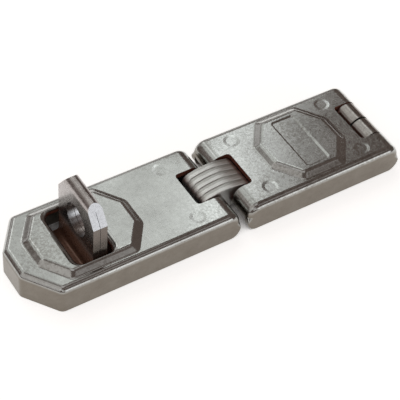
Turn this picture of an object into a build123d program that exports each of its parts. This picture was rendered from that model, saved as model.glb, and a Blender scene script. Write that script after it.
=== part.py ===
from build123d import *
import os
from math import asin, atan2, cos, degrees, hypot, radians, sin

# Double-jointed hasp of pressed steel: a folded staple, a base plate, two covers and a laminated link.
# Frame: +X along the hasp from staple to base hinge, +Z away from the door, z = 0 on the door.

# Overall sizes
overall_length = 155.0
leaf_width = 40.0
leaf_height = 11.5
hasp_leaf_share = 0.536
leaf_gap = 3.1

# Pressed covers
sheet = 2.2
side_bend = 2.6
nose_cut_length = 9.6
nose_cut_width = 13.4
nose_corner_round = 3.0
ear_drop = 0.5
ear_edge_round = 0.4
curl_sweep = 250.0

# Raised octagons
panel_raise = 1.7
panel_slope = 2.5
panel_corner_round = 2.5
panel_foot_round = 1.4
panel_edge_round = 3.0
panel_end_half = 6.1
panel_side_gap = 0.5
hasp_panel_length = 42.0
hinge_panel_start = 18.6
hinge_panel_end = 16.6
plaque_share = 0.315
plaque_end_margin = 1.5
plaque_depth = 0.4
plaque_slope = 0.8
plaque_round = 1.6

# Slot for the staple
slot_left = 8.9
slot_right = 5.75
slot_end_margin = 0.9
slot_round = 3.2
lip_reach = 2.4
lip_end_reach = 1.0
lip_depth = 1.8
lip_angles = (0, 30, 60, 90)

# Round marks that the press leaves on the covers
mark_radius = 3.1
mark_floor_radius = 2.0
mark_depth = 0.06
hasp_mark_setback = 14.9
hinge_mark_setback = 13.2
base_mark_setback = 13.8
mark_side_inset = 6.7

# Notches for the link and window for the base hinge
notch_half = 8.3
hasp_notch_depth = 11.9
hinge_notch_depth = 9.0
window_half = 9.5
window_depth = 11.0
notch_round = 1.5

# Pins
pin_radius = 2.75
running_clearance = 0.05
pin_end_clearance = 0.15

# Laminated link
plate_count = 5
plate_thickness = 2.85
plate_gap = 0.08
link_clearance = 0.08
link_end_radius = 4.6
link_rise = 1.0
plate_edge_break = 0.25

# Base plate
base_sheet = 2.1
base_side_clearance = 1.8
base_left_clearance = 2.3
base_shoulder_clearance = 1.5
ramp_run = 12.0
knuckle_side_clearance = 0.5
knuckle_split = 0.8
knuckle_sweep = 285.0
base_hole_spacing_x = 26.0
base_hole_inset = 6.0
base_hole_setback = 32.0
base_corner_round = 3.0

# Staple
staple_sheet = 2.7
staple_seam = 0.16
slot_end_clearance = 0.9
staple_height = 34.0
staple_center = 28.3
staple_bend = 1.2
foot_reach = 20.5
foot_corner_round = 3.0
staple_cut_width = 5.4
staple_cut_height = 7.8
eye_radius = 6.5
eye_height = 20.0
foot_hole_spacing_x = 28.6
foot_hole_inset = 6.1

# Screw holes
screw_radius = 2.5
countersink_radius = 4.1
countersink_angle = 90.0

# Places worked out from the sizes above
left_end = -overall_length / 2
right_end = overall_length / 2
half_width = leaf_width / 2
inner_half = half_width - sheet
ear_half = half_width - side_bend
roof = leaf_height - sheet
knuckle_bore = pin_radius + running_clearance
end_round = knuckle_bore + sheet
pin_z = leaf_height - end_round
ear_center_z = end_round - ear_drop
hasp_end = left_end + hasp_leaf_share * overall_length
hinge_start = hasp_end + leaf_gap
hasp_pin_x = hasp_end - end_round
hinge_pin_x = hinge_start + end_round
base_pin_x = right_end - end_round
staple_x = left_end + staple_center
hinge_panel_length = right_end - hinge_panel_end - hinge_start - hinge_panel_start
hinge_panel_x = hinge_start + hinge_panel_start + hinge_panel_length / 2
panel_width = leaf_width - 2 * (side_bend + panel_side_gap)
crown_half = panel_width / 2 - panel_slope
slot_half = crown_half - slot_end_margin
staple_half_width = slot_half - slot_end_clearance
mark_y = half_width - mark_side_inset
top = leaf_height + panel_raise
through = 2 * (staple_height + leaf_height)
tiny = 0.01

os.makedirs("parts", exist_ok=True)


def end_section(place, outward, facing, bend):
    # Section of a leaf's rounded end: from the roll's axis out to its face, with the side bends
    with BuildSketch(Plane(place, x_dir=outward.cross(facing), z_dir=facing)) as section:
        with Locations((0, end_round / 2)):
            Rectangle(leaf_width, end_round)
        fillet(section.vertices().group_by(Axis.Y)[-1], bend)
    return section.sketch


def rounded_end(pin_x, side):
    # End of a leaf: rolled over its pin, a short drop where the side bends run out, a rounded lower corner
    pin_axis = Axis((pin_x, 0, pin_z), (0, side, 0))
    ear_axis = Axis((pin_x, 0, ear_center_z), (0, side, 0))
    outward = Vector(side, 0, 0)
    up = Vector(0, 0, 1)
    revolve(end_section((pin_x, 0, pin_z), up, outward, side_bend), pin_axis, 90)
    drop_top = end_section((pin_x, 0, pin_z), outward, -up, side_bend)
    drop_foot = end_section((pin_x, 0, ear_center_z), outward, -up, ear_edge_round)
    loft([drop_top, drop_foot])
    revolve(drop_foot, ear_axis, 90)
    with Locations((pin_x, 0, 0)):
        Box(2 * leaf_width, 2 * leaf_width, leaf_width, align=(Align.CENTER, Align.CENTER, Align.MAX),
            mode=Mode.SUBTRACT)


def nose_plan(right_x, inset):
    # Plan of the hasp leaf with the two cut corners of its nose, moved in all round by inset
    outer_x = right_x + inset
    with BuildSketch(Plane.XY) as plan:
        Polygon(
            (outer_x, half_width),
            (left_end + nose_cut_length, half_width),
            (left_end, half_width - nose_cut_width),
            (left_end, nose_cut_width - half_width),
            (left_end + nose_cut_length, -half_width),
            (outer_x, -half_width),
            align=None,
        )
        nose_corners = plan.vertices().sort_by(Axis.X)[:4]
        fillet(nose_corners, nose_corner_round)
        if inset:
            offset(amount=-inset, kind=Kind.INTERSECTION, mode=Mode.REPLACE)
    return plan.sketch


def hinge_plan(inset):
    # Plan of the hinge leaf between its pins, with its sides moved in by inset
    with BuildSketch(Plane.XY) as plan:
        with Locations(((hinge_pin_x + base_pin_x) / 2, 0)):
            Rectangle(base_pin_x - hinge_pin_x, leaf_width - 2 * inset)
    return plan.sketch


def knuckles(pin_x, side, gap_half):
    # Rolled ends of a cover's roof around its pin, on both sides of a gap
    start = 90 - curl_sweep if side > 0 else 90
    for outward in (-1, 1):
        with BuildSketch(Plane.XZ.offset(-outward * gap_half)) as section:
            with BuildLine():
                outer = CenterArc((pin_x, pin_z), end_round, start, curl_sweep)
                inner = CenterArc((pin_x, pin_z), knuckle_bore, start, curl_sweep)
                Line(outer @ 0, inner @ 0)
                Line(outer @ 1, inner @ 1)
            make_face()
        extrude(section.sketch, amount=ear_half - gap_half, dir=(0, outward, 0))


def end_strip(end_x, side, half, depth, corner_round=0.0):
    # Plan of what is cut from an end of a cover: from depth inside the end out past it
    edge = Align.MIN if side > 0 else Align.MAX
    with BuildSketch(Plane.XY) as strip:
        with Locations((end_x - side * depth, 0)):
            Rectangle(2 * depth, 2 * half, align=(edge, Align.CENTER))
        if corner_round:
            inner_corners = strip.vertices().group_by(Axis.X)[0 if side > 0 else -1]
            fillet(inner_corners, corner_round)
    return strip.sketch


def octagon(center_x, length, height, inset):
    # Outline of a raised panel at a height, with its sides moved in by inset
    panel_half = panel_width / 2
    side_half = length / 2 - (panel_half - panel_end_half) * nose_cut_length / nose_cut_width
    quarter = [(side_half, panel_half), (length / 2, panel_end_half)]
    corners = quarter + [(x, -y) for x, y in reversed(quarter)]
    corners += [(-x, -y) for x, y in quarter] + [(-x, y) for x, y in reversed(quarter)]
    with BuildSketch(Plane.XY.offset(height)) as outline:
        with Locations((center_x, 0)):
            Polygon(*corners, align=None)
        if inset:
            offset(amount=-inset, kind=Kind.INTERSECTION, mode=Mode.REPLACE)
        fillet(outline.vertices(), panel_corner_round)
    return outline.sketch


def panel_walls(center_x, length, base_z, mode):
    # Raised panel with sloping walls, from base_z up
    foot = octagon(center_x, length, base_z, 0)
    crown = octagon(center_x, length, base_z + panel_raise, panel_slope)
    loft([foot, crown], mode=mode)


def level_face(height):
    # Largest face of the open part at a height
    flat = faces().filter_by(Axis.Z).filter_by_position(Axis.Z, height - tiny, height + tiny)
    return flat.sort_by(SortBy.AREA)[-1]


def round_panel():
    # Soft foot and edge that the press leaves on a raised panel
    fillet(level_face(leaf_height).inner_wires()[0].edges(), panel_foot_round)
    fillet(level_face(top).outer_wire().edges(), panel_edge_round)


def slot_section(height, reach, end_reach):
    # Plan of the staple's slot at a height, widened by reach along the leaf and end_reach across it
    with BuildSketch(Plane.XY.offset(height)) as section:
        with Locations((staple_x + (slot_right - slot_left) / 2, 0)):
            RectangleRounded(
                slot_left + slot_right + 2 * reach, 2 * (slot_half + end_reach), slot_round + end_reach)
    return section.sketch


def plaque_outline(height, inset):
    # Plan of the bare plaque sunk in the hinge leaf's panel, with its sides moved in by inset
    plaque_length = plaque_share * hinge_panel_length
    plaque_width = 2 * (crown_half - plaque_end_margin)
    with BuildSketch(Plane.XY.offset(height)) as outline:
        with Locations((hinge_panel_x, 0)):
            RectangleRounded(plaque_length - 2 * inset, plaque_width - 2 * inset, plaque_round - inset)
    return outline.sketch


def press_marks(mark_x):
    # Pair of shallow round dishes in a cover's roof
    with Locations((mark_x, mark_y, leaf_height), (mark_x, -mark_y, leaf_height)):
        Cone(mark_floor_radius, mark_radius, mark_depth, align=(Align.CENTER, Align.CENTER, Align.MAX),
             mode=Mode.SUBTRACT)


def bend_sides(end_xs):
    # Side bend along the top edges, left off where the roof runs on into a rounded end
    def bends(edge):
        return all(abs(edge.center().X - x) > tiny for x in end_xs)

    fillet(level_face(leaf_height).outer_wire().edges().filter_by(bends), side_bend)


# Hasp cover: the leaf that drops over the staple
with BuildPart() as hasp_cover:
    extrude(nose_plan(hasp_pin_x, 0), amount=leaf_height)
    bend_sides([hasp_pin_x])
    rounded_end(hasp_pin_x, 1)
    panel_walls(staple_x, hasp_panel_length, leaf_height, Mode.ADD)
    round_panel()
    extrude(nose_plan(hasp_pin_x, sheet), amount=roof, mode=Mode.SUBTRACT)
    panel_walls(staple_x, hasp_panel_length, roof, Mode.SUBTRACT)
    extrude(end_strip(hasp_end, 1, ear_half, end_round), amount=through, mode=Mode.SUBTRACT)
    knuckles(hasp_pin_x, 1, notch_half)
    extrude(slot_section(0, 0, 0), amount=through, mode=Mode.SUBTRACT)
    lip_sections = []
    for lip_angle in lip_angles:
        lip_open = 1 - sin(radians(lip_angle))
        lip_z = top - lip_depth * (1 - cos(radians(lip_angle)))
        lip_sections.append(slot_section(lip_z, lip_reach * lip_open, lip_end_reach * lip_open))
    loft(lip_sections, mode=Mode.SUBTRACT)
    press_marks(hasp_end - hasp_mark_setback)
    link_notch = end_strip(hasp_end, 1, notch_half, hasp_notch_depth, notch_round)
    extrude(link_notch, amount=through, mode=Mode.SUBTRACT)
hasp_cover.part.label = "hasp_cover"
export_step(hasp_cover.part, "parts/hasp_cover.step")

# Hinge cover: the leaf over the base plate, with a link at one end and the base hinge at the other
with BuildPart() as hinge_cover:
    extrude(hinge_plan(0), amount=leaf_height)
    bend_sides([hinge_pin_x, base_pin_x])
    rounded_end(hinge_pin_x, -1)
    rounded_end(base_pin_x, 1)
    panel_walls(hinge_panel_x, hinge_panel_length, leaf_height, Mode.ADD)
    round_panel()
    extrude(hinge_plan(sheet), amount=roof, mode=Mode.SUBTRACT)
    panel_walls(hinge_panel_x, hinge_panel_length, roof, Mode.SUBTRACT)
    extrude(end_strip(hinge_start, -1, ear_half, end_round), amount=through, mode=Mode.SUBTRACT)
    knuckles(hinge_pin_x, -1, notch_half)
    extrude(end_strip(right_end, 1, ear_half, end_round), amount=through, mode=Mode.SUBTRACT)
    knuckles(base_pin_x, 1, window_half)
    loft([plaque_outline(top, 0), plaque_outline(top - plaque_depth, plaque_slope)], mode=Mode.SUBTRACT)
    press_marks(hinge_start + hinge_mark_setback)
    press_marks(right_end - base_mark_setback)
    link_notch = end_strip(hinge_start, -1, notch_half, hinge_notch_depth, notch_round)
    extrude(link_notch, amount=through, mode=Mode.SUBTRACT)
    base_window = end_strip(right_end, 1, window_half, window_depth, notch_round)
    extrude(base_window, amount=through, mode=Mode.SUBTRACT)
hinge_cover.part.label = "hinge_cover"
export_step(hinge_cover.part, "parts/hinge_cover.step")

# Concealed pins, trapped between the turned-down sides
pin_places = {"hasp_link_pin": hasp_pin_x, "hinge_link_pin": hinge_pin_x, "base_pin": base_pin_x}
for pin_name, pin_x in pin_places.items():
    with BuildPart() as pin:
        with BuildSketch(Plane.XZ):
            with Locations((pin_x, pin_z)):
                Circle(pin_radius)
        extrude(amount=ear_half - pin_end_clearance, both=True)
    pin.part.label = pin_name
    export_step(pin.part, f"parts/{pin_name}.step")

# Link plates: flat blanks with an arched back, stacked across the notches
link_half = (hinge_pin_x - hasp_pin_x) / 2
link_middle = (hinge_pin_x + hasp_pin_x) / 2
arch_depth = (link_half**2 - link_rise**2) / (2 * link_rise)
arch_slope = atan2(link_half, arch_depth)
back_offset = link_end_radius * sin(arch_slope)
back_z = pin_z + link_end_radius * cos(arch_slope)
plate_pitch = plate_thickness + plate_gap
for plate_index in range(plate_count):
    plate_y = (plate_index - (plate_count - 1) / 2) * plate_pitch
    with BuildPart() as link_plate:
        with BuildSketch(Plane.XZ.offset(-plate_y)):
            with BuildLine():
                back = ThreePointArc(
                    (hasp_pin_x - back_offset, back_z),
                    (link_middle, pin_z + link_end_radius + link_rise),
                    (hinge_pin_x + back_offset, back_z),
                )
                right_nose = ThreePointArc(
                    back @ 1,
                    (hinge_pin_x + link_end_radius, pin_z),
                    (hinge_pin_x, pin_z - link_end_radius),
                )
                left_nose = ThreePointArc(
                    back @ 0,
                    (hasp_pin_x - link_end_radius, pin_z),
                    (hasp_pin_x, pin_z - link_end_radius),
                )
                Line(right_nose @ 1, left_nose @ 1)
            make_face()
        extrude(amount=plate_thickness / 2, both=True)
        chamfer(edges().filter_by(Axis.Y, reverse=True), plate_edge_break)
        with BuildSketch(Plane.XZ.offset(-plate_y)):
            with Locations((hasp_pin_x, pin_z), (hinge_pin_x, pin_z)):
                Circle(pin_radius + link_clearance)
        extrude(amount=plate_thickness, both=True, mode=Mode.SUBTRACT)
    plate_name = f"link_plate_{plate_index + 1}"
    link_plate.part.label = plate_name
    export_step(link_plate.part, f"parts/{plate_name}.step")

# Base plate: screwed to the frame, with a tab that ramps up and curls round the base pin
base_left = hinge_pin_x + end_round + base_left_clearance
base_shoulder = base_pin_x - end_round - base_shoulder_clearance
base_half_width = inner_half - base_side_clearance
base_hole_spacing_y = 2 * (base_half_width - base_hole_inset)
knuckle_radius = knuckle_bore + base_sheet
ramp_start = base_pin_x - ramp_run
ramp_angle = atan2(pin_z, ramp_run) - asin(knuckle_radius / hypot(ramp_run, pin_z))
knuckle_half = window_half - knuckle_side_clearance
with BuildPart() as base_plate:
    with BuildSketch(Plane.XZ):
        with BuildLine():
            start_angle = degrees(ramp_angle) - 90
            outer = CenterArc((base_pin_x, pin_z), knuckle_radius, start_angle, knuckle_sweep)
            inner = CenterArc((base_pin_x, pin_z), knuckle_bore, start_angle, knuckle_sweep)
            Line(outer @ 1, inner @ 1)
            Polyline(
                outer @ 0,
                (ramp_start, 0),
                (base_shoulder - ramp_run, 0),
                (base_shoulder - ramp_run, base_sheet),
                (ramp_start - base_sheet * sin(ramp_angle) / (1 + cos(ramp_angle)), base_sheet),
                inner @ 0,
            )
        make_face()
    extrude(amount=knuckle_half, both=True)
    with BuildSketch(Plane.XY):
        with Locations((base_left, 0)):
            Rectangle(
                base_shoulder - base_left,
                2 * base_half_width,
                align=(Align.MIN, Align.CENTER),
            )
        fillet(vertices(), base_corner_round)
    extrude(amount=base_sheet)
    with BuildSketch(Plane.XY.offset(pin_z - knuckle_radius / 2)):
        with Locations((base_pin_x, 0)):
            Rectangle(4 * knuckle_radius, knuckle_split)
    extrude(amount=through, mode=Mode.SUBTRACT)
    with Locations((right_end - base_hole_setback, 0, base_sheet)):
        with GridLocations(base_hole_spacing_x, base_hole_spacing_y, 2, 2):
            CounterSinkHole(screw_radius, countersink_radius, counter_sink_angle=countersink_angle)
base_plate.part.label = "base_plate"
export_step(base_plate.part, "parts/base_plate.step")

# Staple: one strip folded over on itself, down to the bends of its feet
fold_radius = staple_sheet + staple_seam / 2
fold_z = staple_height - fold_radius
bend_z = staple_sheet + staple_bend
with BuildPart() as staple:
    with BuildSketch(Plane.XZ):
        with BuildLine():
            fold_outer = CenterArc((staple_x, fold_z), fold_radius, 90, 90)
            fold_inner = CenterArc((staple_x, fold_z), staple_seam / 2, 90, 90)
            Line(fold_outer @ 0, fold_inner @ 0)
            Polyline(
                fold_outer @ 1,
                (staple_x - fold_radius, bend_z),
                (staple_x - staple_seam / 2, bend_z),
                fold_inner @ 1,
            )
        make_face()
        mirror(about=Plane.YZ.offset(staple_x))
    extrude(amount=staple_half_width, both=True)
    with BuildSketch(Plane.YZ.offset(staple_x)):
        for side in (1, -1):
            Polygon(
                (side * staple_half_width, staple_height),
                (side * (staple_half_width - staple_cut_width), staple_height),
                (side * staple_half_width, staple_height - staple_cut_height),
                align=None,
            )
        with Locations((0, eye_height)):
            Circle(eye_radius)
    extrude(amount=fold_radius, both=True, mode=Mode.SUBTRACT)
staple.part.label = "staple"
export_step(staple.part, "parts/staple.step")

# Feet of the staple: the strip's two ends, turned out from the bends on and screwed to the door
foot_hole_spacing_y = 2 * (staple_half_width - foot_hole_inset)
foot_sides = {"staple_foot_left": -1, "staple_foot_right": 1}
for foot_name, side in foot_sides.items():
    bend_center = (staple_x + side * (fold_radius + staple_bend), bend_z)
    foot_end = staple_x + side * foot_reach
    with BuildPart() as staple_foot:
        with BuildSketch(Plane.XZ):
            with BuildLine():
                bend_inner = CenterArc(bend_center, staple_bend, -90, -90 * side)
                bend_outer = CenterArc(bend_center, staple_bend + staple_sheet, -90, -90 * side)
                Line(bend_inner @ 1, bend_outer @ 1)
                Polyline(bend_inner @ 0, (foot_end, staple_sheet), (foot_end, 0), bend_outer @ 0)
            make_face()
        extrude(amount=staple_half_width, both=True)
        fillet(edges().filter_by(Axis.Z), foot_corner_round)
        with Locations((staple_x + side * foot_hole_spacing_x / 2, 0, staple_sheet)):
            with GridLocations(0, foot_hole_spacing_y, 1, 2):
                CounterSinkHole(screw_radius, countersink_radius, counter_sink_angle=countersink_angle)
    staple_foot.part.label = foot_name
    export_step(staple_foot.part, f"parts/{foot_name}.step")
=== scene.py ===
"""Looks of the hasp lock: plated steel on the CAD pieces, a pale floor, soft light and a camera."""

from math import cos, pi, radians, sin

import bpy
from mathutils import Euler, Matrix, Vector


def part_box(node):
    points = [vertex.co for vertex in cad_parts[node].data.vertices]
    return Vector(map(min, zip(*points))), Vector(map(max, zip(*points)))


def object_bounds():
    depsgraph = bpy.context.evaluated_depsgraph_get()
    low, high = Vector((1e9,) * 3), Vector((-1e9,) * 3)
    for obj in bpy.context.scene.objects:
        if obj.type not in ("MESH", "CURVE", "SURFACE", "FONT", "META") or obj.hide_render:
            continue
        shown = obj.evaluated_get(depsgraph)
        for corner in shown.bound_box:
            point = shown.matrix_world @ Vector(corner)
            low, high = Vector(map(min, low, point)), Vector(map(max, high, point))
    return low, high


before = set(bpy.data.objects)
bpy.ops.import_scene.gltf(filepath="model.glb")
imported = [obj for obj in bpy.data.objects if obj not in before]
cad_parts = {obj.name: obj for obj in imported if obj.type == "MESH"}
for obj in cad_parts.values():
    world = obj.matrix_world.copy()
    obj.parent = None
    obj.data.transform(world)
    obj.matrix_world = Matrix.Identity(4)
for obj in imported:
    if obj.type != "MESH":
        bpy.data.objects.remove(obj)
cad_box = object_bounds()

bl_info = {
    "name": "Hasp Lock",
    "version": (1, 0, 0),
    "blender": (4, 5, 0),
    "location": "3D View > Sidebar > Hasp Lock",
    "description": "Finishes and stage for a double-jointed padlock hasp of pressed steel",
    "category": "Object",
}

MM = 0.001

COVER_NODES = ("hasp_cover", "hinge_cover")
FOOT_NODES = ("staple_foot_left", "staple_foot_right")
LINK_NODES = tuple(sorted(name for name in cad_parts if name.startswith("link_plate")))
PIN_NODES = ("hasp_link_pin", "hinge_link_pin", "base_pin")

# Places along the hasp that part the punched edges of the slot, the notches and the window
NOSE_RIGHT = -65.0 * MM
SLOT_RIGHT = -30.0 * MM
WINDOW_LEFT = 40.0 * MM

# Where the painted brown shade in the slot is whole and ends: from the staple's middle along the
# feet, and up its strip
STAPLE_MIDDLE = 0.5 * (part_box("staple")[0].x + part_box("staple")[1].x)
FOOT_SHADE_WHOLE = 7.0 * MM
FOOT_SHADE_END = 14.0 * MM
STRIP_SHADE_WHOLE = 9.0 * MM
STRIP_SHADE_END = 15.0 * MM

# The painted brown shade is a dull colour with little metallic shine
BROWN_SHADE_METALLIC = 0.3

# Sizes of the stains' clouds and specks, and of the waves in the border of a torn edge
STAIN_CLOUD = 25.0 * MM
STAIN_SPECK = 1.2 * MM
TEAR_WAVE = 2.0 * MM

# Roughness of each finish, and the depth of its satin grain
COVER_SATIN = (0.18, 0.002 * MM)
BASE_SATIN = (0.22, 0.002 * MM)
STAPLE_SATIN = (0.28, 0.001 * MM)
FOOT_SATIN = (0.3, 0.003 * MM)
LINK_SATIN = (0.36, 0.002 * MM)
PIN_SATIN = (0.25, 0.003 * MM)

# Lamps: azimuth from +X and elevation in degrees, distance, width, height, brightness and tint
LAMPS = {
    "Back soft box": (92.0, 51.0, 1.55, 1.5, 0.9, 0.6, "#F9FFFC"),
    "Back left strip": (92.0, 46.0, 1.4, 0.22, 0.5, 0.9, "#FFFFFF"),
    "Back strip": (51.4, 47.0, 1.4, 0.11, 0.6, 1.26, "#FBFFFF"),
    "Back middle strip": (63.0, 47.0, 1.4, 0.07, 0.6, 0.5, "#FBFFFF"),
    "Left soft box": (172.0, 50.0, 1.2, 1.2, 0.9, 0.5, "#FFFDFA"),
    "Front right soft box": (-66.0, 15.0, 1.2, 0.8, 0.5, 1.3, "#FDFEFF"),
    "Low back box": (90.0, 20.0, 1.5, 1.8, 0.45, 0.5, "#FFFFFF"),
    "Low left box": (180.0, 20.0, 1.5, 1.6, 0.45, 0.5, "#FFFFFF"),
    "Low front box": (255.0, 22.0, 1.5, 1.0, 0.45, 0.5, "#FFFFFF"),
    "Top soft box": (54.0, 89.0, 1.4, 0.7, 0.7, 0.5, "#FFFFFF"),
    "Front left fill": (226.0, 40.0, 1.6, 1.3, 0.6, 0.5, "#FFFFFF"),
    "Front top soft box": (-50.0, 53.0, 1.4, 0.6, 0.25, 0.3, "#FFFFFF"),
}
WORLD_COLOUR = "#FFE2D5"
WORLD_STRENGTH = 0.14

# The floor lies just under the hasp, and its own light fades out where the hasp stands over it
FLOOR_GAP = 0.05 * MM
FLOOR_LIFT = 0.68
SHADOW_REACH = 40.0 * MM
SHADOW_SKY = (0.1, 0.45)

# Width of the camera's sensor in millimetres, and how near and far it sees in metres
SENSOR_WIDTH = 36.0
CLIP_START = 0.01
CLIP_END = 20.0


def linear(code):
    """Turns an sRGB hex colour into the linear values that Blender's sockets take."""
    parts = [int(code[i:i + 2], 16) / 255 for i in (1, 3, 5)]
    return tuple(c / 12.92 if c <= 0.04045 else ((c + 0.055) / 1.055) ** 2.4 for c in parts)


def add_node(tree, kind, settings=None, inputs=None):
    """Adds a node, sets its properties, and fills its sockets with values or with links."""
    node = tree.nodes.new(kind)
    for name, value in (settings or {}).items():
        setattr(node, name, value)
    for name, value in (inputs or {}).items():
        socket = node.inputs[name]
        if isinstance(value, bpy.types.NodeSocket):
            tree.links.new(value, socket)
        else:
            socket.default_value = value
    return node


def colour(name, description, code):
    """A colour setting whose default is an sRGB hex value."""
    return bpy.props.FloatVectorProperty(
        name=name, description=description, subtype="COLOR", size=3, min=0.0, max=1.0,
        default=linear(code))


def length(name, description, millimetres):
    """A length setting whose default is given in millimetres."""
    return bpy.props.FloatProperty(
        name=name, description=description, subtype="DISTANCE", unit="LENGTH", min=0.0, precision=5,
        default=millimetres * MM)


class HaspFinishSettings(bpy.types.PropertyGroup):
    """Colours and grain of the plated steel."""

    cover_light: colour("Cover, light", "Plating on the covers where it is brightest", "#C6C9C7")
    cover_dark: colour("Cover, dull", "Plating on the covers where it is dull", "#AFB1AF")
    # Painted shade: the darker, browner colour that upright sides take
    cover_side_shade: colour("Cover sides", "Plating on the turned down sides", "#807A71")
    base_light: colour("Base, light", "Plating on the base plate where it is brightest", "#B4B1AE")
    base_dark: colour("Base, dull", "Plating on the base plate where it is dull", "#989490")
    staple_light: colour("Staple, light", "Plating on the staple where it is brightest", "#C2BEBD")
    staple_dark: colour("Staple, dull", "Plating on the staple where it is dull", "#98928F")
    # Painted highlight on the staple's sloping cuts
    staple_slope_highlight: colour("Staple, edges", "Sloping cuts of the staple's strip", "#C0C3C7")
    # Painted shade on the staple's upright edges
    staple_upright_shade: colour("Staple, rubbed", "Upright edges of the staple's strip", "#776F69")
    # Painted brown shade on the staple and its feet, low in the slot
    staple_brown_shade: colour("Staple, film", "Brown film on the staple and its feet", "#8C6857")
    link_bright: colour("Link, burnished", "Smooth half of the links' blanked edges", "#E1E3E1")
    link_dull: colour("Link, torn", "Dull half of the links' blanked edges", "#BFC0BD")
    pin_steel: colour("Pins", "Drawn steel of the pins", "#A5A19B")
    # Painted shade on the faces that turn downwards
    inside: colour("Inside", "Dull plating on the faces that are turned away", "#8C847C")
    stain: colour("Stains", "Plating on the sides and in specks where it is stained", "#6A6258")
    # Painted brown shade on the covers' punched edges
    brown_shade: colour("Film", "Brown film on the covers' punched edges", "#7A4A3C")
    grain: length("Grain", "Size of the plating's satin grain", 0.7)
    patch: length("Patches", "Size of the plating's dull patches", 14.0)
    # Patches of the painted brown shade on the feet
    brown_shade_patch: length("Film patches", "Size of the patches in the feet's film", 5.0)
    slot_half: length("Slot half width", "Half width across the staple's slot", 13.6)
    notch_half: length("Notch half width", "Half width across the link's notches", 8.4)
    window_half: length("Window half width", "Half width across the base hinge's window", 9.6)
    plate_pitch: length("Link pitch", "Spacing of the link plates across the hasp", 2.93)


class HaspStageSettings(bpy.types.PropertyGroup):
    """Camera and floor."""

    camera_place: bpy.props.FloatVectorProperty(
        name="Camera place", description="Where the camera stands",
        subtype="TRANSLATION", unit="LENGTH", size=3,
        default=(-0.21361, -0.29578, 0.40215))
    camera_turn: bpy.props.FloatVectorProperty(
        name="Camera turn", description="How the camera is turned",
        subtype="EULER", unit="ROTATION", size=3,
        default=(radians(42.285), radians(-3.628), radians(-31.906)))
    camera_lens: bpy.props.FloatProperty(
        name="Lens", description="Focal length on a 36 mm sensor",
        subtype="DISTANCE_CAMERA", default=131.35)
    floor_size: length("Floor size", "Side of the square floor", 40000.0)
    floor_colour: colour("Floor", "Paint of the floor", "#F4F3F1")


def empty_material(name):
    """A node material with nothing in it yet."""
    material = bpy.data.materials.new(name)
    material.use_nodes = True
    material.node_tree.nodes.clear()
    return material, material.node_tree


def patchy_colour(tree, place, light, dark, patch, grain):
    """Grey that drifts between two shades in soft patches, broken up by the grain."""
    # Patches of duller plating, as barrel plating leaves on a flat face: 14 mm on the covers
    patches = add_node(tree, "ShaderNodeTexNoise", inputs={
        "Vector": place, "Scale": 1.0 / patch, "Detail": 3.0, "Roughness": 0.6})
    # Mottling twice as coarse as the grain
    mottle = add_node(tree, "ShaderNodeTexNoise", inputs={
        "Vector": place, "Scale": 0.5 / grain, "Detail": 2.0, "Roughness": 0.5})
    blend = add_node(tree, "ShaderNodeMath", {"operation": "MULTIPLY_ADD"}, {
        0: mottle.outputs["Fac"], 1: 0.5, 2: patches.outputs["Fac"]})
    amount = add_node(tree, "ShaderNodeMapRange", inputs={
        "Value": blend.outputs[0], "From Min": 0.5, "From Max": 1.0})
    return add_node(tree, "ShaderNodeMix", {"data_type": "RGBA"}, {
        "Factor": amount.outputs["Result"],
        "A": (*light, 1.0), "B": (*dark, 1.0)}).outputs["Result"]


def stained_colour(tree, place, clean, stain):
    """A clean finish with fine brown specks that gather in clouds."""
    clouds = add_node(tree, "ShaderNodeTexNoise", inputs={
        "Vector": place, "Scale": 1.0 / STAIN_CLOUD, "Detail": 2.0})
    specks = add_node(tree, "ShaderNodeTexNoise", inputs={
        "Vector": place, "Scale": 1.0 / STAIN_SPECK, "Detail": 4.0, "Roughness": 0.7})
    gathered = add_node(tree, "ShaderNodeMath", {"operation": "MULTIPLY"}, {
        0: clouds.outputs["Fac"], 1: specks.outputs["Fac"]})
    amount = add_node(tree, "ShaderNodeMapRange", inputs={
        "Value": gathered.outputs[0], "From Min": 0.28, "From Max": 0.45, "To Max": 0.5})
    return add_node(tree, "ShaderNodeMix", {"data_type": "RGBA"}, {
        "Factor": amount.outputs["Result"], "A": clean, "B": (*stain, 1.0)}).outputs["Result"]


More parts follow.
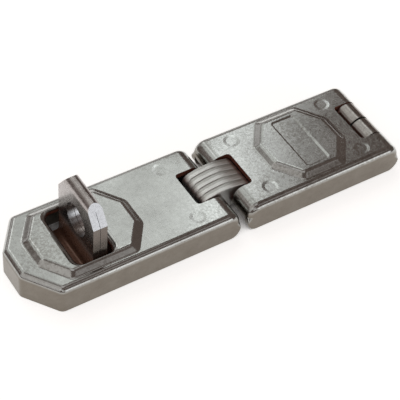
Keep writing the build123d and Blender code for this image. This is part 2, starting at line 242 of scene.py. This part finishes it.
def punched_brown_shade(tree, coordinates, look):
    """How much painted brown shade is on the punched edges of the slot, the notches and the hinge's
    window.
    """
    where = add_node(tree, "ShaderNodeSeparateXYZ", inputs={
        "Vector": coordinates.outputs["Object"]})
    aside = add_node(tree, "ShaderNodeMath", {"operation": "ABSOLUTE"}, {0: where.outputs["Y"]})
    # Half width of the cut-out that lies at this place along the hasp
    by_slot = add_node(tree, "ShaderNodeMath", {"operation": "LESS_THAN"}, {
        0: where.outputs["X"], 1: SLOT_RIGHT})
    by_window = add_node(tree, "ShaderNodeMath", {"operation": "GREATER_THAN"}, {
        0: where.outputs["X"], 1: WINDOW_LEFT})
    reach = add_node(tree, "ShaderNodeMath", {"operation": "MULTIPLY_ADD"}, {
        0: by_slot.outputs[0], 1: look.slot_half - look.notch_half, 2: look.notch_half})
    reach = add_node(tree, "ShaderNodeMath", {"operation": "MULTIPLY_ADD"}, {
        0: by_window.outputs[0], 1: look.window_half - look.notch_half, 2: reach.outputs[0]})
    within = add_node(tree, "ShaderNodeMath", {"operation": "LESS_THAN"}, {
        0: aside.outputs[0], 1: reach.outputs[0]})
    behind_nose = add_node(tree, "ShaderNodeMath", {"operation": "GREATER_THAN"}, {
        0: where.outputs["X"], 1: NOSE_RIGHT})
    # Cut edges stand upright, and the faces above and below them lie level
    facing = add_node(tree, "ShaderNodeSeparateXYZ", inputs={
        "Vector": coordinates.outputs["Normal"]})
    tilt = add_node(tree, "ShaderNodeMath", {"operation": "ABSOLUTE"}, {0: facing.outputs["Z"]})
    upright = add_node(tree, "ShaderNodeMapRange", {"interpolation_type": "SMOOTHSTEP"}, {
        "Value": tilt.outputs[0], "From Min": 0.75, "From Max": 0.35})
    punched = add_node(tree, "ShaderNodeMath", {"operation": "MULTIPLY"}, {
        0: within.outputs[0], 1: upright.outputs["Result"]})
    return add_node(tree, "ShaderNodeMath", {"operation": "MULTIPLY"}, {
        0: punched.outputs[0], 1: behind_nose.outputs[0]}).outputs[0]


def foot_brown_shade(tree, coordinates, look):
    """How much painted brown shade is on the feet in the slot: whole in the corner by the staple,
    and in patches beyond it.
    """
    place = coordinates.outputs["Object"]
    where = add_node(tree, "ShaderNodeSeparateXYZ", inputs={"Vector": place})
    along = add_node(tree, "ShaderNodeMath", {"operation": "SUBTRACT"}, {
        0: where.outputs["X"], 1: STAPLE_MIDDLE})
    away = add_node(tree, "ShaderNodeMath", {"operation": "ABSOLUTE"}, {0: along.outputs[0]})
    corner = add_node(tree, "ShaderNodeMapRange", {"interpolation_type": "SMOOTHSTEP"}, {
        "Value": away.outputs[0], "From Min": FOOT_SHADE_END, "From Max": FOOT_SHADE_WHOLE,
        "To Min": -0.1, "To Max": 0.5})
    patches = add_node(tree, "ShaderNodeTexNoise", inputs={
        "Vector": place, "Scale": 1.0 / look.brown_shade_patch, "Detail": 3.0, "Roughness": 0.6})
    both = add_node(tree, "ShaderNodeMath", {"operation": "ADD"}, {
        0: corner.outputs["Result"], 1: patches.outputs["Fac"]})
    return add_node(tree, "ShaderNodeMapRange", inputs={
        "Value": both.outputs[0], "From Min": 0.35, "From Max": 0.9}).outputs["Result"]


def finish_metal(tree, place, shade, metallic, look, satin):
    """Metal shader with a satin grain in its gloss and its surface."""
    roughness, grain_depth = satin
    # Real satin grain is near 0.1 mm, and is drawn coarser here so that it shows
    fine = add_node(tree, "ShaderNodeTexNoise", inputs={
        "Vector": place, "Scale": 1.0 / look.grain, "Detail": 2.0, "Roughness": 0.5})
    gloss = add_node(tree, "ShaderNodeMapRange", inputs={
        "Value": fine.outputs["Fac"], "From Min": 0.3, "From Max": 0.7,
        "To Min": roughness - 0.04, "To Max": roughness + 0.05})
    bump = add_node(tree, "ShaderNodeBump", inputs={
        "Height": fine.outputs["Fac"], "Strength": 0.5, "Distance": grain_depth})
    shader = add_node(tree, "ShaderNodeBsdfPrincipled", inputs={
        "Base Color": shade, "Metallic": metallic,
        "Roughness": gloss.outputs["Result"], "Normal": bump.outputs["Normal"]})
    add_node(tree, "ShaderNodeOutputMaterial", inputs={"Surface": shader.outputs["BSDF"]})


def steel_material(look, name, light, dark, side_shade, satin, brown_shade=None, brown_shade_colour=None):
    """Plated steel: grey in soft patches, fine stains, and painted shade: browner sides and dull
    faces that turn downwards.
    """
    material, tree = empty_material(name)
    coordinates = add_node(tree, "ShaderNodeTexCoord")
    place = coordinates.outputs["Object"]
    clean = patchy_colour(tree, place, light, dark, look.patch, look.grain)
    face = stained_colour(tree, place, clean, look.stain)
    stained_side_shade = tuple(0.5 * (a + b) for a, b in zip(side_shade, look.stain))
    patchy_side_shade = patchy_colour(tree, place, side_shade, stained_side_shade, 0.5 * look.patch, look.grain)
    # Painted shade: faces that stand upright take a browner, darker colour than faces that lie
    # level
    facing = add_node(tree, "ShaderNodeSeparateXYZ", inputs={
        "Vector": coordinates.outputs["Normal"]})
    level = add_node(tree, "ShaderNodeMapRange", {"interpolation_type": "SMOOTHSTEP"}, {
        "Value": facing.outputs["Z"], "From Min": 0.05, "From Max": 0.7})
    shade = add_node(tree, "ShaderNodeMix", {"data_type": "RGBA"}, {
        "Factor": level.outputs["Result"], "A": patchy_side_shade, "B": face})
    # Painted shade: faces that turn downwards take a dull, darker colour
    under = add_node(tree, "ShaderNodeMapRange", {"interpolation_type": "SMOOTHSTEP"}, {
        "Value": facing.outputs["Z"], "From Min": -0.2, "From Max": -0.7})
    shade = add_node(tree, "ShaderNodeMix", {"data_type": "RGBA"}, {
        "Factor": under.outputs["Result"],
        "A": shade.outputs["Result"], "B": (*look.inside, 1.0)})
    metallic = 1.0
    # Painted brown shade: a brown, less metallic colour where the punched edges or the slot lie in
    # shade
    if brown_shade:
        amount = brown_shade(tree, coordinates, look)
        shade = add_node(tree, "ShaderNodeMix", {"data_type": "RGBA"}, {
            "Factor": amount, "A": shade.outputs["Result"], "B": (*brown_shade_colour, 1.0)})
        metallic = add_node(tree, "ShaderNodeMapRange", inputs={
            "Value": amount, "To Min": 1.0, "To Max": BROWN_SHADE_METALLIC}).outputs["Result"]
    finish_metal(tree, place, shade.outputs["Result"], metallic, look, satin)
    return material


def strip_material(look, name, satin):
    """Folded strip: dull rolled faces in soft patches, a painted highlight on the sloping cut
    edges, painted shade on the upright edges, and painted brown shade low in the slot.
    """
    material, tree = empty_material(name)
    coordinates = add_node(tree, "ShaderNodeTexCoord")
    place = coordinates.outputs["Object"]
    face = patchy_colour(
        tree, place, look.staple_light, look.staple_dark, look.patch, look.grain)
    facing = add_node(tree, "ShaderNodeSeparateXYZ", inputs={
        "Vector": coordinates.outputs["Normal"]})
    aside = add_node(tree, "ShaderNodeMath", {"operation": "ABSOLUTE"}, {0: facing.outputs["Y"]})
    sheared = add_node(tree, "ShaderNodeMapRange", {"interpolation_type": "SMOOTHSTEP"}, {
        "Value": aside.outputs[0], "From Min": 0.3, "From Max": 0.6})
    # Painted highlight on the sloping cuts, and painted shade on the upright edges, which are dull
    # and darker
    sloping = add_node(tree, "ShaderNodeMapRange", {"interpolation_type": "SMOOTHSTEP"}, {
        "Value": facing.outputs["Z"], "From Min": 0.0, "From Max": 0.5})
    bright = add_node(tree, "ShaderNodeMath", {"operation": "MULTIPLY"}, {
        0: sheared.outputs["Result"], 1: sloping.outputs["Result"]})
    shade = add_node(tree, "ShaderNodeMix", {"data_type": "RGBA"}, {
        "Factor": bright.outputs[0], "A": face, "B": (*look.staple_slope_highlight, 1.0)})
    upright_shade = add_node(tree, "ShaderNodeMath", {"operation": "SUBTRACT"}, {
        0: sheared.outputs["Result"], 1: bright.outputs[0]})
    shade = add_node(tree, "ShaderNodeMix", {"data_type": "RGBA"}, {
        "Factor": upright_shade.outputs[0],
        "A": shade.outputs["Result"], "B": (*look.staple_upright_shade, 1.0)})
    # The painted brown shade of the feet reaches up the strip and fades out where it leaves the
    # slot
    where = add_node(tree, "ShaderNodeSeparateXYZ", inputs={"Vector": place})
    brown_shade = add_node(tree, "ShaderNodeMapRange", {"interpolation_type": "SMOOTHSTEP"}, {
        "Value": where.outputs["Z"], "From Min": STRIP_SHADE_END, "From Max": STRIP_SHADE_WHOLE})
    shade = add_node(tree, "ShaderNodeMix", {"data_type": "RGBA"}, {
        "Factor": brown_shade.outputs["Result"],
        "A": shade.outputs["Result"], "B": (*look.staple_brown_shade, 1.0)})
    metallic = add_node(tree, "ShaderNodeMapRange", inputs={
        "Value": brown_shade.outputs["Result"], "To Min": 1.0, "To Max": BROWN_SHADE_METALLIC})
    finish_metal(tree, place, shade.outputs["Result"], metallic.outputs["Result"], look, satin)
    return material


def blanked_material(look, name, satin):
    """Blanked plate: each edge is burnished where the punch went in and dull where it tore."""
    material, tree = empty_material(name)
    place = add_node(tree, "ShaderNodeTexCoord").outputs["Object"]
    across = add_node(tree, "ShaderNodeSeparateXYZ", inputs={"Vector": place})
    plates = add_node(tree, "ShaderNodeMath", {"operation": "MULTIPLY_ADD"}, {
        0: across.outputs["Y"], 1: 1.0 / look.plate_pitch, 2: 0.5})
    depth = add_node(tree, "ShaderNodeMath", {"operation": "FRACT"}, {0: plates.outputs[0]})
    # The tear's border wanders along the plate
    waver = add_node(tree, "ShaderNodeTexNoise", inputs={
        "Vector": place, "Scale": 1.0 / TEAR_WAVE, "Detail": 3.0})
    border = add_node(tree, "ShaderNodeMath", {"operation": "MULTIPLY_ADD"}, {
        0: waver.outputs["Fac"], 1: 0.3, 2: depth.outputs[0]})
    torn = add_node(tree, "ShaderNodeMapRange", {"interpolation_type": "SMOOTHSTEP"}, {
        "Value": border.outputs[0], "From Min": 0.6, "From Max": 0.75})
    shade = add_node(tree, "ShaderNodeMix", {"data_type": "RGBA"}, {
        "Factor": torn.outputs["Result"],
        "A": (*look.link_bright, 1.0), "B": (*look.link_dull, 1.0)})
    finish_metal(tree, place, shade.outputs["Result"], 1.0, look, satin)
    return material


def put_material(names, material):
    """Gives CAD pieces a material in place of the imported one."""
    for name in names:
        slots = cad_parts[name].data.materials
        slots.clear()
        slots.append(material)


class HaspFinishCovers(bpy.types.Operator):
    """Satin nickel plate on the two pressed covers"""

    bl_idname = "hasp.finish_covers"
    bl_label = "Finish Covers"

    def execute(self, context):
        look = context.scene.hasp_finish
        # Barrel plating on a pressing: a soft grey shine in slow patches, and painted brown shade
        # on the punched edges
        put_material(COVER_NODES, steel_material(
            look, "Satin nickel plated pressed steel",
            look.cover_light, look.cover_dark, look.cover_side_shade, COVER_SATIN,
            punched_brown_shade, look.brown_shade))
        return {"FINISHED"}


class HaspFinishBase(bpy.types.Operator):
    """Satin nickel plate on the base plate under the hinge cover"""

    bl_idname = "hasp.finish_base"
    bl_label = "Finish Base Plate"

    def execute(self, context):
        look = context.scene.hasp_finish
        # The same plating on rolled sheet: a little darker and less glossy than the covers
        put_material(("base_plate",), steel_material(
            look, "Satin nickel plated rolled steel",
            look.base_light, look.base_dark, look.cover_side_shade, BASE_SATIN))
        return {"FINISHED"}


class HaspFinishStaple(bpy.types.Operator):
    """Darker plate on the hardened staple"""

    bl_idname = "hasp.finish_staple"
    bl_label = "Finish Staple"

    def execute(self, context):
        look = context.scene.hasp_finish
        # Hardened strip takes a dark plate: dull faces, a painted highlight on the sheared slopes,
        # and painted shade on the upright edges
        put_material(("staple",), strip_material(
            look, "Dark satin plated hardened strip", STAPLE_SATIN))
        # The same strip under the leaf: painted brown shade in the corner by the staple, and grey
        # further out
        put_material(FOOT_NODES, steel_material(
            look, "Hardened strip with painted brown shade",
            look.staple_light, look.staple_dark, look.staple_dark, FOOT_SATIN,
            foot_brown_shade, look.staple_brown_shade))
        return {"FINISHED"}


class HaspFinishLinks(bpy.types.Operator):
    """Blanked edges on the link plates"""

    bl_idname = "hasp.finish_links"
    bl_label = "Finish Link Plates"

    def execute(self, context):
        look = context.scene.hasp_finish
        # Plates on edge: a bright and a dull stripe on each, which follow the arch of the link
        put_material(LINK_NODES, blanked_material(look, "Blanked plated steel", LINK_SATIN))
        return {"FINISHED"}


class HaspFinishPins(bpy.types.Operator):
    """Drawn steel on the concealed pins"""

    bl_idname = "hasp.finish_pins"
    bl_label = "Finish Pins"

    def execute(self, context):
        look = context.scene.hasp_finish
        # Drawn wire: grey, with painted shade on the faces that stand upright or turn downwards,
        # seen as a glint between the rolled ends
        put_material(PIN_NODES, steel_material(
            look, "Drawn steel", look.pin_steel, look.pin_steel, look.staple_dark, PIN_SATIN))
        return {"FINISHED"}


def floor_material(stage):
    """Matt paint that is white to the camera and in the metal, and keeps the hasp's shadow."""
    material, tree = empty_material("White studio floor")
    paint = add_node(tree, "ShaderNodeBsdfDiffuse", inputs={"Color": (*stage.floor_colour, 1.0)})
    rays = add_node(tree, "ShaderNodeLightPath")
    seen = add_node(tree, "ShaderNodeMath", {"operation": "MAXIMUM"}, {
        0: rays.outputs["Is Camera Ray"], 1: rays.outputs["Is Glossy Ray"]})
    seen = add_node(tree, "ShaderNodeMath", {"operation": "MAXIMUM"}, {
        0: seen.outputs[0], 1: rays.outputs["Is Transmission Ray"]})
    sky = add_node(tree, "ShaderNodeAmbientOcclusion", {"samples": 8}, {"Distance": SHADOW_REACH})
    lift = add_node(tree, "ShaderNodeMapRange", inputs={
        "Value": sky.outputs["AO"], "From Min": SHADOW_SKY[0], "From Max": SHADOW_SKY[1],
        "To Max": FLOOR_LIFT})
    strength = add_node(tree, "ShaderNodeMath", {"operation": "MULTIPLY"}, {
        0: seen.outputs[0], 1: lift.outputs["Result"]})
    glow = add_node(tree, "ShaderNodeEmission", inputs={
        "Color": (1.0, 1.0, 1.0, 1.0), "Strength": strength.outputs[0]})
    both = add_node(tree, "ShaderNodeAddShader", inputs={0: paint.outputs[0], 1: glow.outputs[0]})
    add_node(tree, "ShaderNodeOutputMaterial", inputs={"Surface": both.outputs[0]})
    return material


def add_floor(stage):
    """The floor that the hasp lies on."""
    bpy.ops.object.select_all(action="DESELECT")
    bpy.ops.mesh.primitive_plane_add(
        size=stage.floor_size, location=(0.0, 0.0, cad_box[0].z - FLOOR_GAP))
    floor = bpy.context.active_object
    floor.name = "studio_floor"
    floor.data.materials.append(floor_material(stage))


def add_lamp(name, azimuth, elevation, distance, width, height, brightness, tint):
    """A soft box that points at the hasp."""
    around, up = radians(azimuth), radians(elevation)
    outward = Vector((cos(around) * cos(up), sin(around) * cos(up), sin(up)))
    lamp = bpy.data.lights.new(name, "AREA")
    lamp.shape = "RECTANGLE"
    lamp.size, lamp.size_y = width, height
    # Power that makes the cloth this bright, whatever its size
    lamp.energy = brightness * pi * width * height
    lamp.color = linear(tint)
    holder = bpy.data.objects.new(name, lamp)
    holder.location = outward * distance
    holder.rotation_euler = (-outward).to_track_quat("-Z", "Y").to_euler()
    bpy.context.scene.collection.objects.link(holder)


def add_camera(scene, stage):
    """The camera at the photo's viewing angle."""
    camera = bpy.data.cameras.new("Camera")
    camera.lens = stage.camera_lens
    camera.sensor_width = SENSOR_WIDTH
    camera.clip_start = CLIP_START
    camera.clip_end = CLIP_END
    holder = bpy.data.objects.new("Camera", camera)
    holder.location = stage.camera_place
    holder.rotation_euler = Euler(stage.camera_turn, "XYZ")
    scene.collection.objects.link(holder)
    scene.camera = holder


class HaspDressStage(bpy.types.Operator):
    """Floor, lamps, world and camera"""

    bl_idname = "hasp.dress_stage"
    bl_label = "Dress Stage"

    def execute(self, context):
        scene = context.scene
        scene.view_settings.view_transform = "Standard"
        add_floor(scene.hasp_stage)
        world = bpy.data.worlds.new("Pale studio")
        world.use_nodes = True
        background = world.node_tree.nodes["Background"]
        background.inputs["Color"].default_value = (*linear(WORLD_COLOUR), 1.0)
        background.inputs["Strength"].default_value = WORLD_STRENGTH
        scene.world = world
        for name, settings in LAMPS.items():
            add_lamp(name, *settings)
        add_camera(scene, scene.hasp_stage)
        return {"FINISHED"}


class HaspPanel(bpy.types.Panel):
    """Sidebar panel with the settings and the steps"""

    bl_idname = "HASP_PT_sidebar"
    bl_label = "Hasp Lock"
    bl_space_type = "VIEW_3D"
    bl_region_type = "UI"
    bl_category = "Hasp Lock"

    def draw(self, context):
        for group in (context.scene.hasp_finish, context.scene.hasp_stage):
            for name in group.__annotations__:
                self.layout.prop(group, name)
        for step in STEPS:
            self.layout.operator(step.bl_idname)


STEPS = (
    HaspFinishCovers, HaspFinishBase, HaspFinishStaple, HaspFinishLinks, HaspFinishPins,
    HaspDressStage)
CLASSES = (HaspFinishSettings, HaspStageSettings, *STEPS, HaspPanel)


def register():
    for cls in CLASSES:
        bpy.utils.register_class(cls)
    bpy.types.Scene.hasp_finish = bpy.props.PointerProperty(type=HaspFinishSettings)
    bpy.types.Scene.hasp_stage = bpy.props.PointerProperty(type=HaspStageSettings)


def unregister():
    del bpy.types.Scene.hasp_stage
    del bpy.types.Scene.hasp_finish
    for cls in reversed(CLASSES):
        bpy.utils.unregister_class(cls)


def main():
    register()
    bpy.ops.hasp.finish_covers()
    bpy.ops.hasp.finish_base()
    bpy.ops.hasp.finish_staple()
    bpy.ops.hasp.finish_links()
    bpy.ops.hasp.finish_pins()
    bpy.ops.hasp.dress_stage()


if __name__ == "__main__":
    main()
